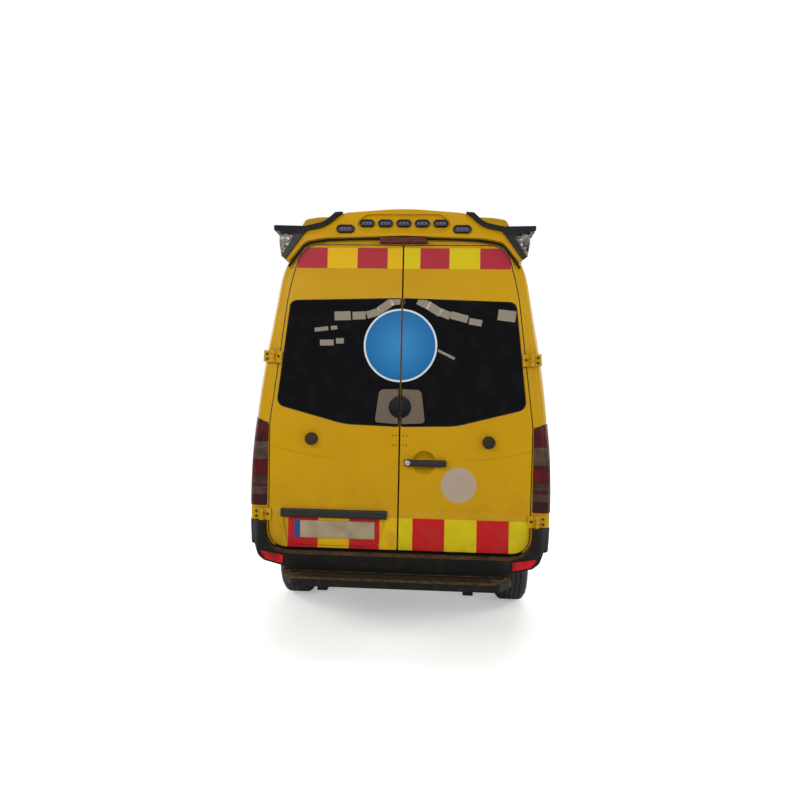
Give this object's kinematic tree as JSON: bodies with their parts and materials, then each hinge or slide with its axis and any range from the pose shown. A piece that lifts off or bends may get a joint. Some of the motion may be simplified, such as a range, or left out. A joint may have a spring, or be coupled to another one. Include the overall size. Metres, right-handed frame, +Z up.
{
  "type": "ambulance",
  "caption": "High-roof ambulance van with twin rear doors, roof light fairings, entry step, cab with hinged doors and steered front wheels.",
  "frame": {"origin": "on the ground under the middle of the overall box", "axes": "+X to the right side, +Y forward, +Z up"},
  "size_m": [2.536, 6.08, 2.84],
  "materials": {
    "body_paint": "gloss golden yellow coat",
    "glass": "dark tinted",
    "black_plastic": "grained black",
    "bumper_plastic": "weathered charcoal",
    "red_lens": "moulded red lens",
    "lamp_lens": "moulded clear lens",
    "tyre_rubber": "matt rubber",
    "wheel_paint": "silver coat",
    "frame_paint": "black chassis coat",
    "cast_steel": "dull cast",
    "exhaust_steel": "heat stained",
    "interior_plastic": "grained grey",
    "seat_cloth": "woven dark grey",
    "floor_cover": "studded grey sheet"
  },
  "bodies": {
    "body": {"bulkhead": "interior_plastic", "cab_frame": "body_paint", "cab_seats": "seat_cloth", "chassis_frame": "frame_paint", "dashboard": "interior_plastic", "engine": "cast_steel", "exhaust": "exhaust_steel", "fairing_blades": "black_plastic", "fixed_glass": "glass", "floor": "floor_cover", "front_bumper": "bumper_plastic", "front_fairing": "body_paint", "fuel_tank": "black_plastic", "grille": "black_plastic", "headlamps": "lamp_lens", "leaf_springs": "frame_paint", "nose": "body_paint", "rear_axle": "cast_steel", "rear_bumper": "bumper_plastic", "rear_fairing": "body_paint", "rear_lamps": "red_lens", "rear_step": "bumper_plastic", "roof": "body_paint", "roof_lamps": "lamp_lens", "side_wall_left": "body_paint", "side_wall_right": "body_paint", "sliding_door": "body_paint"},
    "bonnet": {"bonnet": "body_paint"},
    "cab_door_right": {"cab_door_right": "body_paint", "cab_glass_right": "glass", "mirror_right": "black_plastic"},
    "cab_door_left": {"cab_door_left": "body_paint", "cab_glass_left": "glass", "mirror_left": "black_plastic"},
    "rear_door_right": {"rear_door_right": "body_paint", "rear_glass_right": "glass", "door_fittings_right": "black_plastic"},
    "rear_door_left": {"rear_door_left": "body_paint", "rear_glass_left": "glass", "door_fittings_left": "black_plastic"},
    "knuckle_right": {"knuckle_right": "cast_steel"},
    "knuckle_left": {"knuckle_left": "cast_steel"},
    "steering_wheel": {"steering_wheel": "interior_plastic"},
    "wheel_front_right": {"wheel_front_right": "wheel_paint", "tyre_front_right": "tyre_rubber"},
    "wheel_front_left": {"wheel_front_left": "wheel_paint", "tyre_front_left": "tyre_rubber"},
    "wheel_rear_right": {"wheel_rear_right": "wheel_paint", "tyre_rear_right": "tyre_rubber"},
    "wheel_rear_left": {"wheel_rear_left": "wheel_paint", "tyre_rear_left": "tyre_rubber"}
  },
  "joints": [
    {"name": "bonnet_lift", "type": "hinge", "parent": "body", "child": "bonnet", "pos_m": [0, 2.182, 1.272], "axis": [1, 0, 0], "range_deg": [0, 58]},
    {"name": "cab_door_right_swing", "type": "hinge", "parent": "body", "child": "cab_door_right", "pos_m": [0.974, 1.583, 1.2], "axis": [0, 0, 1], "range_deg": [0, 68]},
    {"name": "cab_door_left_swing", "type": "hinge", "parent": "body", "child": "cab_door_left", "pos_m": [-0.974, 1.583, 1.2], "axis": [0, 0, -1], "range_deg": [0, 68]},
    {"name": "rear_door_right_swing", "type": "hinge", "parent": "body", "child": "rear_door_right", "pos_m": [0.874, -2.801, 0.849], "axis": [-0.0499, 0, 0.9988], "range_deg": [0, 180]},
    {"name": "rear_door_left_swing", "type": "hinge", "parent": "body", "child": "rear_door_left", "pos_m": [-0.874, -2.801, 0.849], "axis": [-0.0499, 0, -0.9988], "range_deg": [0, 180]},
    {"name": "steer_left", "type": "hinge", "parent": "body", "child": "knuckle_left", "pos_m": [-0.725, 2.036, 0.356], "axis": [0, 0, 1], "range_deg": [-35, 35]},
    {"name": "steer_right", "type": "hinge", "parent": "body", "child": "knuckle_right", "pos_m": [0.725, 2.036, 0.356], "axis": [0, 0, 1], "range_deg": [-35, 35]},
    {"name": "steering_wheel_turn", "type": "hinge", "parent": "body", "child": "steering_wheel", "pos_m": [-0.47, 1.56, 1.235], "axis": [0, -0.848, 0.5299], "range_deg": [-490, 490]},
    {"name": "wheel_front_right_roll", "type": "hinge", "parent": "knuckle_right", "child": "wheel_front_right", "pos_m": [0.85, 2.036, 0.356], "axis": [1, 0, 0], "continuous": true},
    {"name": "wheel_front_left_roll", "type": "hinge", "parent": "knuckle_left", "child": "wheel_front_left", "pos_m": [-0.85, 2.036, 0.356], "axis": [1, 0, 0], "continuous": true},
    {"name": "wheel_rear_right_roll", "type": "hinge", "parent": "body", "child": "wheel_rear_right", "pos_m": [0.85, -1.629, 0.356], "axis": [1, 0, 0], "continuous": true},
    {"name": "wheel_rear_left_roll", "type": "hinge", "parent": "body", "child": "wheel_rear_left", "pos_m": [-0.85, -1.629, 0.356], "axis": [1, 0, 0], "continuous": true}
  ],
  "couplings": [
    {"joint": "steer_right", "follows": "steer_left", "ratio": 1},
    {"joint": "steering_wheel_turn", "follows": "steer_left", "ratio": 14}
  ]
}
